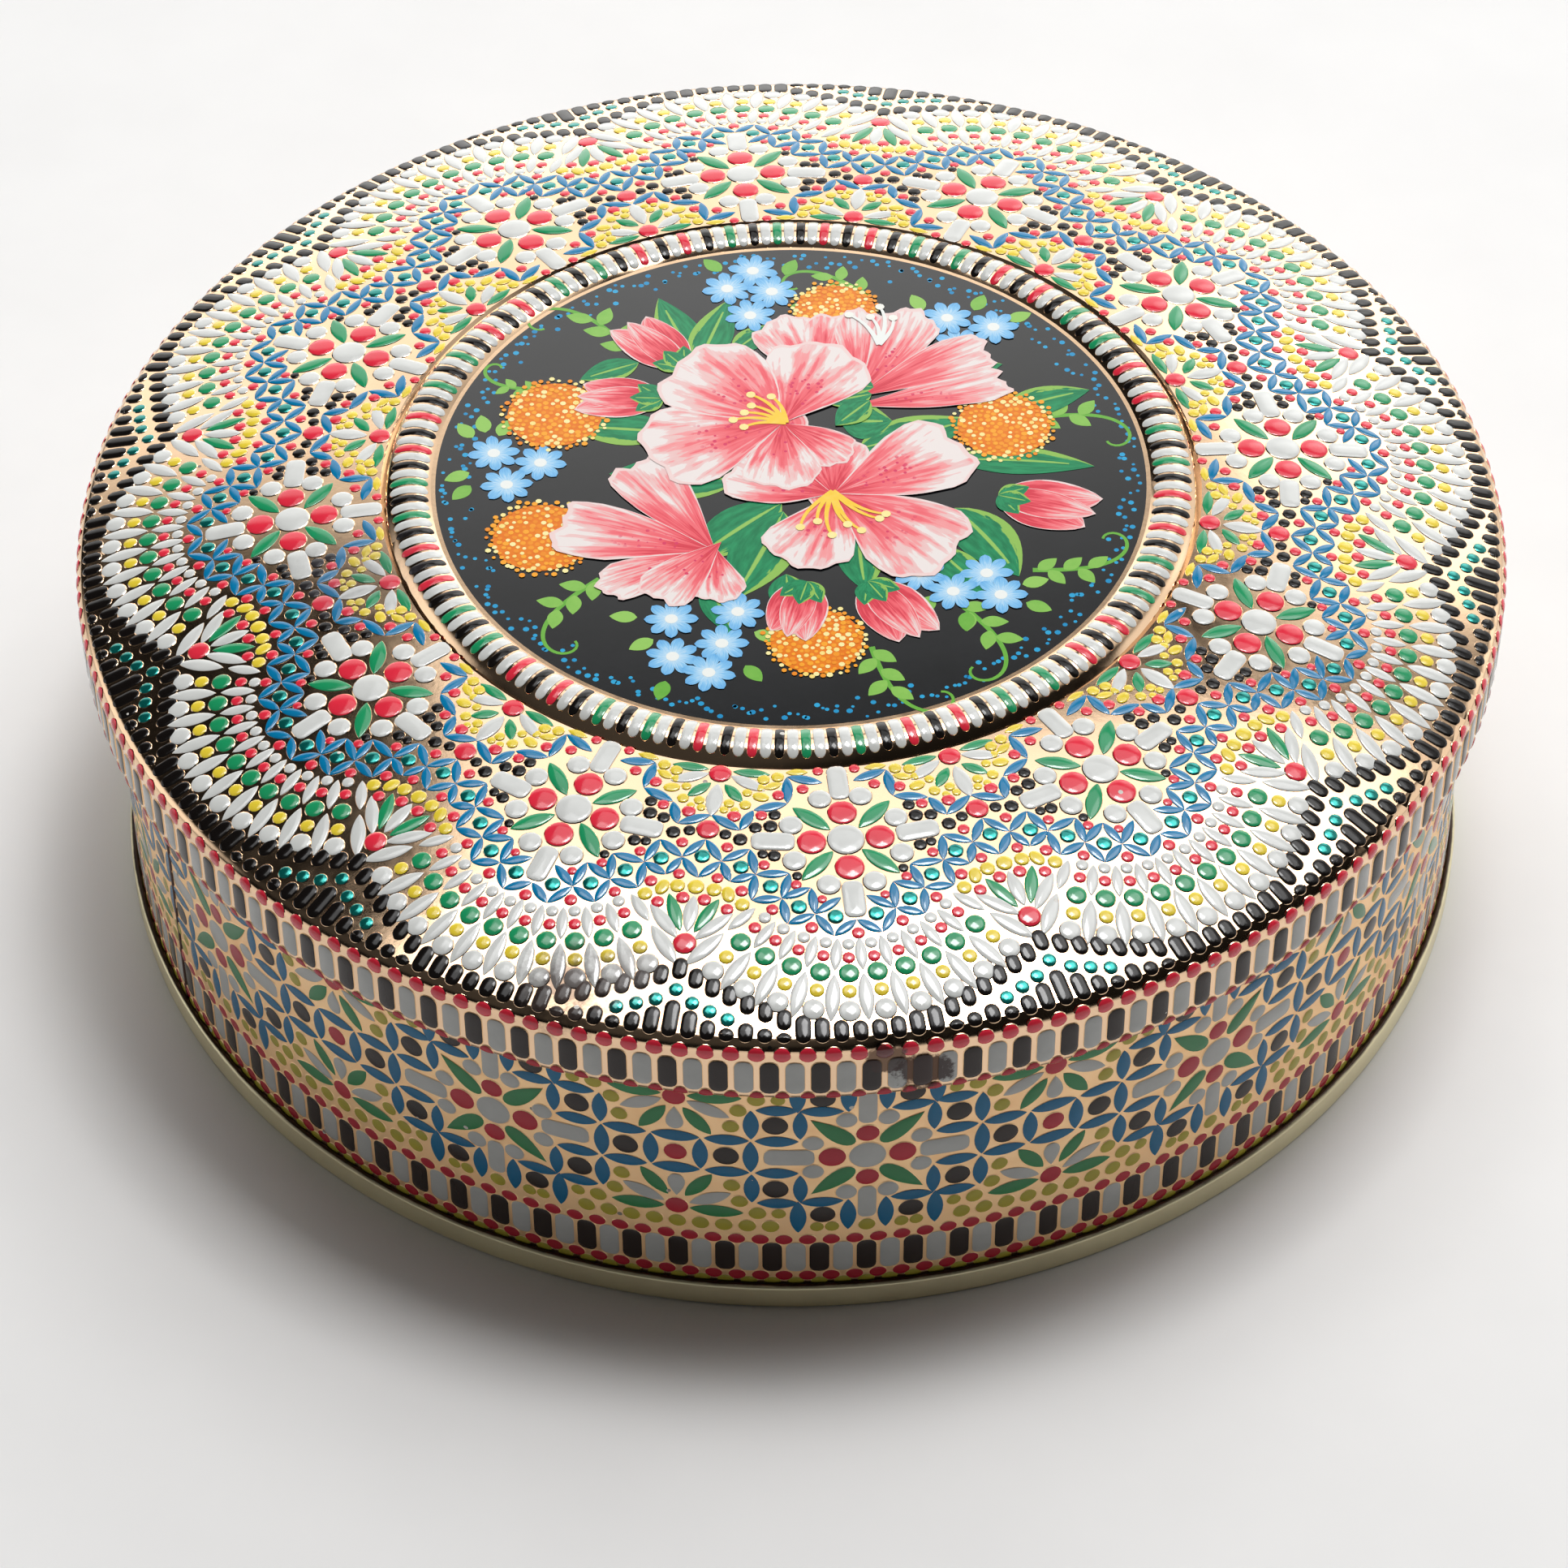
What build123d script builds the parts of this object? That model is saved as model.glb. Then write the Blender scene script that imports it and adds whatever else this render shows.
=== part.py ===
from build123d import *
import math
import os

# Round slip-lid cookie tin, made of three pressed tinplate pieces: the lid, the
# wall and the base. Millimetres, +Z up. The origin is on the tin's axis, at the
# plane it stands on, and -Y is the front.

# ---- driving dimensions ----
LID_RADIUS = 110.0            # outside of the lid's skirt
WALL_RADIUS = 106.0           # outside of the wall
SHEET = 0.3                   # tinplate with its lacquer
FOLD_GAP = 0.1                # room between the folded layers of the double seam
LID_CLEARANCE = 0.4           # lid's curl to the wall, on the radius
SEAT_CLEARANCE = 0.2          # lid's underside to the wall's top curl

# lid, measured on its outer face
PANEL_RADIUS = 55.2           # flat round picture panel in the middle
PANEL_HEIGHT = 69.1
RING_CREST_RADIUS = 58.7      # half-round ring that frames the panel
RING_CREST_HEIGHT = 70.2
RING_END_RADIUS = 62.5        # narrow groove between the ring and the dome
RING_END_HEIGHT = 68.1
DOME_START_RADIUS = 63.0      # gently domed field round the ring
DOME_START_HEIGHT = 68.5
DOME_START_SLOPE = 2.0        # degrees below level, where the dome starts
DOME_CURVE = 180.0            # radius of the dome's section
SHOULDER_CURVE = 2.2          # rounds the dome over into the skirt
SKIRT_BOTTOM = 49.3           # height of the lid's lowest edge

# wall and base
TOP_CURL = 1.2                # outer radius of the wall's top curl
SEAM_HEIGHT = 3.1             # double seam that joins the base to the wall
HOOK_LENGTH = 1.3             # straight part of each hook inside the seam
PANEL_RECESS = 3.2            # base panel's middle plane above the floor
BEAD_STEP = 0.6               # each round step that stiffens the base panel
BEAD_RADII = (97.0, 61.0)
BEAD_RUN = 1.6                # how far a step's slope runs outwards
SEAM_ANGLE = -158.6           # where the wall's upright side seam stands, degrees
SEAM_STRIP_ARC = 2.2          # degrees that the lapped strip covers inside
STRIP_BITE = 0.06             # how far the strip runs into the wall, so that they are one piece
SEAM_LINE_ARC = 0.35          # degrees that the line outside covers
SEAM_LINE_DEPTH = 0.12

# ---- worked out from them ----
half_sheet = SHEET / 2
lid_curl = (LID_RADIUS - WALL_RADIUS - LID_CLEARANCE) / 2
start_slope = math.radians(DOME_START_SLOPE)
dome_center_x = DOME_START_RADIUS - DOME_CURVE * math.sin(start_slope)
dome_center_z = DOME_START_HEIGHT - DOME_CURVE * math.cos(start_slope)
end_slope = math.asin((LID_RADIUS - SHOULDER_CURVE - dome_center_x) / (DOME_CURVE - SHOULDER_CURVE))
dome_turn = math.degrees(end_slope - start_slope)
shoulder_turn = 90 - math.degrees(end_slope)

# the wall's top curl sits just under the dome
curl_x = WALL_RADIUS - TOP_CURL
seat_reach = DOME_CURVE - SHEET - SEAT_CLEARANCE - TOP_CURL
curl_z = dome_center_z + math.sqrt(seat_reach**2 - (curl_x - dome_center_x) ** 2)

# middle planes of the seam's five layers, from the inside outwards
layer = SHEET + FOLD_GAP
wall_x = WALL_RADIUS - half_sheet
chuck_x = wall_x - layer
cover_hook_x = wall_x + layer
body_hook_x = wall_x + 2 * layer
seaming_x = wall_x + 3 * layer
fold_low_z = half_sheet + layer * 2
fold_high_z = SEAM_HEIGHT - half_sheet - layer


# ---- lid: one pressing, from the middle of the panel to the curl under the skirt ----
with BuildPart() as lid:
    with BuildSketch(Plane.XZ):
        with BuildLine() as lid_face:
            panel = Line((0, PANEL_HEIGHT), (PANEL_RADIUS, PANEL_HEIGHT))
            ring = ThreePointArc(
                panel @ 1,
                (RING_CREST_RADIUS, RING_CREST_HEIGHT),
                (RING_END_RADIUS, RING_END_HEIGHT),
            )
            groove = Line(ring @ 1, (DOME_START_RADIUS, DOME_START_HEIGHT))
            outwards = (math.cos(start_slope), -math.sin(start_slope))
            dome = JernArc(groove @ 1, outwards, DOME_CURVE, -dome_turn)
            shoulder = JernArc(dome @ 1, dome % 1, SHOULDER_CURVE, -shoulder_turn)
            skirt = Line(shoulder @ 1, (LID_RADIUS, SKIRT_BOTTOM + lid_curl))
            curl = JernArc(skirt @ 1, skirt % 1, lid_curl, -270)
            offset(amount=SHEET, side=Side.RIGHT)
        make_face()
    revolve(axis=Axis.Z)
lid.part.label = "lid"

# ---- wall: hook in the double seam, upright sheet, curl along the top ----
with BuildLine() as wall_path:
    body_hook = Line((body_hook_x, fold_low_z + HOOK_LENGTH), (body_hook_x, fold_low_z))
    fold = JernArc(body_hook @ 1, (0, -1), layer, -180)
    upright = Line(fold @ 1, (wall_x, curl_z))
    JernArc(upright @ 1, (0, 1), TOP_CURL - half_sheet, 270)

seam_turn = math.radians(SEAM_ANGLE)
seam_x = (math.cos(seam_turn), math.sin(seam_turn), 0)
seam_normal = (math.sin(seam_turn), -math.cos(seam_turn), 0)
seam_plane = Plane(origin=(0, 0, 0), x_dir=seam_x, z_dir=seam_normal)
strip_low = SEAM_HEIGHT + SHEET
strip_height = curl_z - 2 * TOP_CURL - strip_low
strip_middle = strip_low + strip_height / 2
with BuildPart() as wall:
    with BuildSketch(Plane.XZ):
        trace(wall_path.line, line_width=SHEET)
    revolve(axis=Axis.Z)
    # the lapped strip inside, where the sheet's two ends are joined
    with BuildSketch(seam_plane):
        with Locations((WALL_RADIUS - 1.5 * SHEET, strip_middle)):
            Rectangle(SHEET + STRIP_BITE, strip_height)
    revolve(axis=Axis.Z, revolution_arc=SEAM_STRIP_ARC)
    # the fine line that the same joint leaves outside
    with BuildSketch(seam_plane):
        with Locations((WALL_RADIUS, strip_middle)):
            Rectangle(2 * SEAM_LINE_DEPTH, strip_height)
    revolve(axis=Axis.Z, revolution_arc=SEAM_LINE_ARC, mode=Mode.SUBTRACT)
wall.part.label = "wall"

# ---- base: recessed panel with two round steps, then its fold round the wall's hook ----
level = PANEL_RECESS
step_points = []
for radius in BEAD_RADII:
    step_points.append((radius, level))
    level += BEAD_STEP
    step_points.append((radius - BEAD_RUN, level))

with BuildLine() as base_path:
    profile = FilletPolyline(
        (seaming_x, fold_high_z),
        (seaming_x, half_sheet),
        (chuck_x, half_sheet),
        (chuck_x, PANEL_RECESS),
        *step_points,
        (0, level),
        radius=layer,
    )
    top_fold = JernArc(profile @ 0, (0, 1), layer, 180)
    Line(top_fold @ 1, (cover_hook_x, fold_high_z - HOOK_LENGTH))

with BuildPart() as base:
    with BuildSketch(Plane.XZ):
        trace(base_path.line, line_width=SHEET)
    revolve(axis=Axis.Z)
base.part.label = "base"

os.makedirs("parts", exist_ok=True)
export_step(lid.part, "parts/lid.step")
export_step(wall.part, "parts/wall.step")
export_step(base.part, "parts/base.step")
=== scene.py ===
"""Round cookie tin with an embossed mosaic of enamel stones and a flower picture on its lid.

Everything here is in the CAD frame. Patterns are worked out in millimetres and turned into
metres when a mesh is made. The lid and the wall repeat one 30-degree motif twelve times.
"""
import bpy
import math
import random
from mathutils import Matrix, Vector

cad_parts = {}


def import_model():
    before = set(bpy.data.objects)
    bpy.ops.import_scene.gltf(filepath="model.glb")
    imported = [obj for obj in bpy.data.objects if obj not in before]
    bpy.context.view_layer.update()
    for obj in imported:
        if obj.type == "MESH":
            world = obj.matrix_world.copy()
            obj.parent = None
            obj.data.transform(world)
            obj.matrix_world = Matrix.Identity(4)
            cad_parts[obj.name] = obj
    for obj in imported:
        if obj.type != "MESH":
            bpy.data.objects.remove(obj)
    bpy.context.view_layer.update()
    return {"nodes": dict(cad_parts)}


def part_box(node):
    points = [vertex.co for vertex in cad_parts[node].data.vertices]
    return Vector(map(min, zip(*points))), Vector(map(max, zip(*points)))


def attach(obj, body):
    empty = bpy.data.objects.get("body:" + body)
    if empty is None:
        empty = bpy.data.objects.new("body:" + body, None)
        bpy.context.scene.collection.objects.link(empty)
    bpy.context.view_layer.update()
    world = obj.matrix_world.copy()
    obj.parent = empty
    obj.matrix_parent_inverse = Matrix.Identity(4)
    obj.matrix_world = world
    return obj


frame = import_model()

MM = 0.001
TURN = 2 * math.pi
REPEATS = 12                       # motifs round the tin
SECTOR = 360 / REPEATS
FRONT = -90                        # a rosette faces the front, along -Y
BAND_COUNT = 16                    # bars in each motif, on the ring, the skirt and the wall's foot

# ---- the CAD pieces, mm ----
lid_low, lid_high = (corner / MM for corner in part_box("lid"))
_, wall_high = (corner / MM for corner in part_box("wall"))
_, base_high = (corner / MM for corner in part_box("base"))
LID_RADIUS = round(lid_high.x, 1)
TOP = lid_high.z                   # crest of the ring on the lid
SKIRT_BOTTOM = lid_low.z
WALL_RADIUS = 106.0
SIDE_SEAM = -158.6                 # where the wall's upright seam stands, degrees

PANEL_RADIUS = 55.2
PANEL_HEIGHT = TOP - 1.1
RING_CREST = (58.7, TOP)
RING_END = (62.5, TOP - 2.1)
DOME_START = 63.0
DOME_START_HEIGHT = TOP - 1.7
DOME_SLOPE = math.radians(2.0)
DOME_CURVE = 180.0
SHOULDER_CURVE = 2.2
CURL_CURVE = 1.8

dome_center = (
    DOME_START - DOME_CURVE * math.sin(DOME_SLOPE),
    DOME_START_HEIGHT - DOME_CURVE * math.cos(DOME_SLOPE),
)
edge_slope = math.asin((LID_RADIUS - SHOULDER_CURVE - dome_center[0]) / (DOME_CURVE - SHOULDER_CURVE))
DOME_END = dome_center[0] + DOME_CURVE * math.sin(edge_slope)
shoulder_center = (
    LID_RADIUS - SHOULDER_CURVE,
    dome_center[1] + (DOME_CURVE - SHOULDER_CURVE) * math.cos(edge_slope),
)
SHOULDER_END = DOME_END + SHOULDER_CURVE * (math.pi / 2 - edge_slope)
SKIRT_END = SHOULDER_END + shoulder_center[1] - SKIRT_BOTTOM - CURL_CURVE


# ================================ surfaces ================================
def turned(radius, angle, height):
    """The point in metres at a radius and a height in mm, turned about the tin's axis."""
    return radius * math.cos(angle) * MM, radius * math.sin(angle) * MM, height * MM


def on_lid(reach):
    """A point of the lid's outer section and its normal. Out to the end of the dome, reach is the
    plan radius; from there on it is measured along the sheet, over the shoulder and down the skirt."""
    if reach <= RING_END[0]:
        return on_ring(reach)
    if reach <= DOME_END:
        slope = math.asin((reach - dome_center[0]) / DOME_CURVE)
        return reach, dome_center[1] + DOME_CURVE * math.cos(slope), math.sin(slope), math.cos(slope)
    if reach <= SHOULDER_END:
        slope = edge_slope + (reach - DOME_END) / SHOULDER_CURVE
        side, up = math.sin(slope), math.cos(slope)
        x, z = shoulder_center
        return x + SHOULDER_CURVE * side, z + SHOULDER_CURVE * up, side, up
    if reach <= SKIRT_END:
        return LID_RADIUS, shoulder_center[1] - (reach - SHOULDER_END), 1.0, 0.0
    turn = (reach - SKIRT_END) / CURL_CURVE
    side, down = math.cos(turn), math.sin(turn)
    return LID_RADIUS - CURL_CURVE * (1 - side), SKIRT_BOTTOM + CURL_CURVE * (1 - down), side, -down


def circle_through(a, b, c):
    """Centre and radius of the circle through three points of a section."""
    d = 2 * (a[0] * (b[1] - c[1]) + b[0] * (c[1] - a[1]) + c[0] * (a[1] - b[1]))
    squares = [p[0] ** 2 + p[1] ** 2 for p in (a, b, c)]
    x = (squares[0] * (b[1] - c[1]) + squares[1] * (c[1] - a[1]) + squares[2] * (a[1] - b[1])) / d
    y = (squares[0] * (c[0] - b[0]) + squares[1] * (a[0] - c[0]) + squares[2] * (b[0] - a[0])) / d
    return x, y, math.hypot(a[0] - x, a[1] - y)


ring_x, ring_z, ring_curve = circle_through((PANEL_RADIUS, PANEL_HEIGHT), RING_CREST, RING_END)


def on_ring(radius):
    if radius <= PANEL_RADIUS:
        return radius, PANEL_HEIGHT, 0.0, 1.0
    side = (radius - ring_x) / ring_curve
    up = math.sqrt(1 - side * side)
    return radius, ring_z + ring_curve * up, side, up


def place_on_lid(x, y, height, turn):
    """Plan coordinates of a motif whose axis points outwards at angle turn, to a point in metres."""
    reach = math.hypot(x, y)
    angle = turn - math.atan2(x, y)
    radius, z, side, up = on_lid(reach)
    return turned(radius + side * height, angle, z + up * height)


def place_on_band(x, y, height, turn):
    """x round the skirt and y up it, both in mm, with y the height above the floor."""
    radius, z, side, up = on_lid(SHOULDER_END + shoulder_center[1] - y)
    return turned(radius + side * height, turn + x / LID_RADIUS, z + up * height)


def place_on_wall(x, y, height, turn):
    """x round the wall and y up it, both in mm."""
    return turned(WALL_RADIUS + height, turn + x / WALL_RADIUS, y)


# ================================ stones ================================
def half_outline(kind, long, short, steps):
    """Upper half of a stone's outline, from its +x end to its -x end."""
    if kind == "bar":
        corner = min(short, 1.25)
        straight = long - corner
        turns = [math.pi / 2 * i / 4 for i in range(5)]
        end = [(straight + corner * math.cos(t), short - corner + corner * math.sin(t)) for t in turns]
        end[0] = (long, 0.0)
        sides = [(straight * (1 - i / 4), short) for i in range(1, 4)]
        half = end + sides
        return half + [(0.0, short)] + [(-u, v) for u, v in reversed(half)]
    points = []
    for i in range(steps + 1):
        t = math.pi * i / steps
        width = {
            "oval": math.sin(t),
            "leaf": math.sin(t) ** 1.7,
            "drop": 1.299 * math.sin(t) * math.sin(t / 2),
        }[kind]
        points.append((long * math.cos(t), short * width))
    return points


RIDGE = {"oval": 0.0, "leaf": 0.7, "drop": 0.5, "bar": 0.0}    # straight crest, as a share of the length
LEAF_TAPER = 0.45                  # how much lower a leaf is at its tips
FOOT_DEPTH = 0.04                  # how far a stone's edge goes into the sheet


class Mosaic:
    """Collects stones by colour, and makes one mesh piece of each colour."""

    def __init__(self, place, rise, spread=0.0):
        self.place = place
        self.rise = rise           # height of a stone whose half-width is 1 mm
        self.spread = spread       # width of the gold rim round each stone's enamel
        self.colours = {}

    def add(self, colour, kind, x, y, long, short, angle, turn):
        points, faces, rims = self.colours.setdefault(colour, ([], [], []))
        long += self.spread
        short += self.spread
        big = long > 1.9
        steps = 12 if big else 8 if long > 1.2 else 6
        levels = (1.0, 0.93, 0.8, 0.6, 0.33) if big else (1.0, 0.9, 0.68, 0.38)
        outline = half_outline(kind, long, short, steps)
        steps = len(outline) - 1
        ridge = RIDGE[kind]
        if kind == "bar" or (kind == "oval" and long > 1.2 * short):
            ridge = (long - short) / long
        top = self.rise * math.sqrt(short)
        cos_a, sin_a = math.cos(math.radians(angle)), math.sin(math.radians(angle))

        def put(u, v, height):
            points.append(self.place(x + u * cos_a - v * sin_a, y + u * sin_a + v * cos_a, height, turn))

        first = len(points)
        count = 2 * steps
        for level in levels:
            stretch = ridge + level * (1 - ridge)
            bulge = (1 - level * level) ** 0.55
            for i in range(count):
                u, v = outline[i] if i <= steps else outline[count - i]
                taper = 1 - LEAF_TAPER * (u / long) ** 2 * (kind == "leaf")
                side = 1 if i <= steps else -1
                put(u * stretch, v * level * side, top * bulge * taper - FOOT_DEPTH * (level == 1.0))
        for ring in range(len(levels) - 1):
            low = first + ring * count
            for i in range(count):
                j = (i + 1) % count
                faces.append((low + i, low + j, low + count + j, low + count + i))
                rims.append(1 if ring == 0 else 0)
        last = first + (len(levels) - 1) * count
        middle = len(points)
        if ridge < 0.05:
            put(0, 0, top)
            for i in range(count):
                faces.append((last + i, last + (i + 1) % count, middle))
                rims.append(0)
            return
        for i in range(steps + 1):
            u = outline[i][0] * ridge
            put(u, 0, top * (1 - LEAF_TAPER * (u / long) ** 2 * (kind == "leaf")))
        for i in range(count):
            j = (i + 1) % count
            a = middle + (i if i <= steps else count - i)
            b = middle + (j if j <= steps else count - j)
            faces.append((last + i, last + j, b, a))
            rims.append(0)

    def finish(self, prefix, body, ground, enamels):
        for colour, (points, faces, rims) in sorted(self.colours.items()):
            piece = new_mesh(f"{prefix}_{colour}_stones", points, faces)
            piece.data.materials.append(enamels[colour])
            piece.data.materials.append(ground)
            piece.data.polygons.foreach_set("material_index", rims)
            smooth(piece)
            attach(piece, body)


def new_mesh(name, points, faces):
    mesh = bpy.data.meshes.new(name)
    mesh.from_pydata(points, [], faces)
    mesh.validate()
    piece = bpy.data.objects.new(name, mesh)
    bpy.context.scene.collection.objects.link(piece)
    return piece


def smooth(piece):
    piece.data.polygons.foreach_set("use_smooth", [True] * len(piece.data.polygons))


class Motif:
    """Places stones of one motif at every repeat, with their mirror images about its axis."""

    def __init__(self, mosaic, offset=0.0):
        self.mosaic = mosaic
        self.turns = [math.radians(FRONT + offset + SECTOR * k) for k in range(REPEATS)]

    def one(self, colour, kind, x, y, long, short=None, angle=90.0):
        for turn in self.turns:
            self.mosaic.add(colour, kind, x, y, long, short or long, angle, turn)

    def pair(self, colour, kind, x, y, long, short=None, angle=90.0):
        self.one(colour, kind, x, y, long, short, angle)
        self.one(colour, kind, -x, y, long, short, 180 - angle)

    def link(self, colour, a, b, short, gap=0.15):
        """A leaf from point a to point b, and its mirror image."""
        long = math.dist(a, b) / 2 - gap
        angle = math.degrees(math.atan2(b[1] - a[1], b[0] - a[0]))
        self.pair(colour, "leaf", (a[0] + b[0]) / 2, (a[1] + b[1]) / 2, long, short, angle)


def polar(distance, bearing, center=(0.0, 0.0)):
    """The point at a distance and a bearing, clockwise from the motif's outward axis."""
    t = math.radians(bearing)
    return center[0] + distance * math.sin(t), center[1] + distance * math.cos(t)


# ================================ lid's mosaic ================================
ROSETTE = (0.0, 76.5)


def lid_rosette(m):
    m.one("white", "oval", *ROSETTE, 2.65)
    for bearing in (0, 180):
        m.one("red", "oval", *polar(4.93, bearing, ROSETTE), 2.08)
    m.pair("red", "oval", *polar(4.93, 90, ROSETTE), 2.05)
    for bearing in (47, 133):
        m.pair("green", "leaf", *polar(6.2, bearing, ROSETTE), 3.3, 1.12, 90 - bearing)
    for k in range(4):
        m.pair("white", "oval", *polar(8.3, 23.3 + 45.3 * k, ROSETTE), 1.68)
    m.one("white", "bar", *polar(10.35, 0, ROSETTE), 3.0, 1.5)
    m.one("white", "bar", *polar(10.6, 180, ROSETTE), 3.15, 1.4)
    m.pair("white", "bar", 10.43, ROSETTE[1] - 0.73, 3.1, 1.5, -8)


def lid_beads(m):
    """Small round stones that fill the corners round the rosette: offsets from its centre."""
    x0, y0 = ROSETTE
    black = ((10.5, 1.85, 0.9), (12.1, 1.38, 0.7), (7.6, 5.7, 0.65), (10.5, -3.5, 1.0),
             (12.65, -3.46, 0.9), (9.7, -5.5, 0.85))
    red = ((12.1, 3.3, 0.75), (7.9, 7.2, 0.7), (4.5, 10.0, 0.6), (11.6, -5.6, 0.8), (15.5, -5.9, 0.95),
           (8.75, -9.1, 0.85), (5.2, -9.9, 0.8), (2.65, -13.1, 0.7), (6.45, 14.5, 0.85), (11.7, 11.0, 0.8))
    for x, y, size in black:
        m.pair("black", "oval", x0 + x, y0 + y, size)
    for x, y, size in red:
        m.pair("red", "oval", x0 + x, y0 + y, size)
    m.one("red", "oval", 0, y0 + 16.0, 0.85)
    m.pair("yellow", "leaf", 5.7, 63.3, 1.5, 0.55, -4)


def lid_chain(m, edge):
    """Chain of blue diamonds, each with a teal bead, that arches from one rosette to the next."""
    nodes = ((0, 90.3), (5.75, 88.85), (10.15, 85.8), (13.46, 81.3), (18.08, 78.45))
    outer = ((3.46, 92.7), (9.8, 90.1), (14.5, 85.6), (17.2, 82.1))
    inner = ((1.75, 86.4), (5.85, 84.4), (8.6, 81.65), (13.8, 76.8))
    beads = ((2.9, 89.55), (7.9, 87.45), (11.53, 83.6), (15.4, 79.8))
    for i, bead in enumerate(beads):
        m.link("blue", nodes[i], outer[i], 0.62)
        m.link("blue", outer[i], nodes[i + 1], 0.62)
        m.link("blue", inner[i], nodes[i + 1], 0.62)
        if i > 0:
            m.link("blue", nodes[i], inner[i], 0.62)
        m.pair("teal", "oval", *bead, 1.08)
    half = math.radians(SECTOR / 2)
    x, y = nodes[-1]
    meet = (y * math.sin(half) - x * math.cos(half), y * math.cos(half) + x * math.sin(half))
    edge.link("blue", meet, (0, 83.7), 0.62)
    edge.link("blue", meet, (0, 76.9), 0.62)
    edge.one("teal", "oval", 0, 79.95, 1.08)


def lid_zigzag(m):
    """Blue zigzag between the rosette and the ring."""
    route = ((14.9, 73.3), (12.65, 69.8), (7.63, 69.1), (7.2, 64.0), (2.2, 65.7))
    for a, b in zip(route, route[1:]):
        m.link("blue", a, b, 0.72)
    m.link("blue", route[0], polar(72.4, SECTOR / 2), 0.68)


def lid_scallop(m):
    """Rays of stones that fan out from the rosette to the rim."""
    step = 10.35
    for k in range(5):
        bearing = (k + 0.5) * step
        for colour, distance, size in (
            ("white", 17.75, 0.82),
            ("red", 19.9, 0.82),
            ("green", 22.35 + 0.15 * k, 1.4),
            ("yellow", 25.15 + 0.22 * k, 0.99),
            ("white", 28.15 + 0.19 * k, 1.52),
        ):
            m.pair(colour, "oval", *polar(distance, bearing, ROSETTE), size)
    for k in range(6):
        bearing = k * step + (1.6 if k == 5 else 0)
        place = m.one if k == 0 else m.pair
        place("white", "leaf", *polar(19.3 + 0.17 * k, bearing, ROSETTE), 2.5, 0.76, 90 - bearing)
        place("white", "leaf", *polar(26.0 + 0.24 * k, bearing, ROSETTE), 3.55, 1.02, 90 - bearing)
    m.pair("white", "leaf", *polar(23.9, 57.7, ROSETTE), 3.35, 0.92, 90 - 58.5)


def lid_outer_fan(edge):
    """Between two rosettes, near the rim: a red stone with petals that point inwards."""
    edge.one("red", "oval", 0, 94.7, 1.63)
    edge.one("white", "leaf", 0, 89.8, 2.95, 0.98)
    edge.pair("green", "leaf", 2.3, 89.85, 3.15, 0.88, -66)
    edge.one("yellow", "oval", 0, 85.3, 1.12)
    edge.pair("yellow", "oval", 2.64, 85.45, 1.02)
    edge.pair("yellow", "oval", 4.75, 85.95, 1.25, 0.85, 70)
    edge.pair("yellow", "oval", 7.0, 87.35, 0.98)
    for x, y, size in ((1.55, 87.3, 0.9), (5.0, 88.45, 0.85), (2.77, 83.4, 0.78), (6.55, 85.1, 0.85),
                       (3.27, 77.9, 0.8)):
        edge.pair("red", "oval", x, y, size)
    edge.one("red", "oval", 0, 75.1, 1.63)
    edge.pair("black", "oval", 2.6, 75.65, 0.82)
    edge.pair("black", "oval", 4.86, 76.25, 1.0)


def lid_inner_fan(edge):
    """Between two rosettes, beside the ring: a red stone with petals that point outwards."""
    edge.one("red", "oval", 0, 64.5, 1.6)
    edge.one("white", "leaf", 0, 69.6, 3.0, 1.15)
    edge.pair("green", "leaf", 2.5, 67.95, 2.0, 0.8, 45)
    edge.pair("white", "leaf", 4.25, 65.75, 2.75, 0.88, 22)
    edge.pair("green", "leaf", 4.45, 63.75, 2.6, 0.72, -2)
    for x, y, size in ((4.54, 69.9, 0.78), (2.17, 69.95, 0.7), (1.66, 71.25, 0.55), (4.44, 67.6, 0.62),
                       (6.37, 64.75, 0.85), (8.3, 63.95, 0.85), (6.1, 66.35, 0.6), (3.2, 71.1, 0.5)):
        edge.pair("yellow", "oval", x, y, size)
    edge.pair("yellow", "oval", 6.5, 68.1, 1.15, 0.75, 8)
    edge.pair("yellow", "leaf", 7.9, 65.75, 1.3, 0.6, -30)


def lid_rim(m, edge):
    """Black pills along the rim and round the scallops, with teal beads in the corners between."""
    pitch = SECTOR / 21
    rim = LID_RADIUS - 0.95
    inner_ends = (106.1, 105.9, 105.4, 105.0, 107.6, 107.0, 106.3, 107.2, 106.2, 105.0)

    def pill(place, low, high, bearing, wide=1.02):
        place("black", "bar", *polar((low + high) / 2, bearing), (high - low) / 2, wide, 90 - bearing)

    for k, low in enumerate(inner_ends):
        bearing = (k + 0.5) * pitch
        pill(m.pair, low, rim, bearing)
        if k >= 4:
            middle = 105.6 - 1.12 * (k - 4)
            pill(m.pair, middle - 1.5, middle + 1.5, bearing, 0.98)
        if k >= 7:
            m.pair("teal", "oval", *polar(105.85 - 1.02 * (k - 7), bearing), 0.95)
    for k in range(BAND_COUNT):
        m.one("red", "oval", *polar(SHOULDER_END - 0.25, (k + 0.5) * SECTOR / BAND_COUNT), 1.22)
    pill(edge.one, 103.7, rim, 0)
    pill(edge.one, 97.1, 100.3, 0, 0.98)
    edge.one("teal", "oval", 0, 102.0, 0.95)


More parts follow.
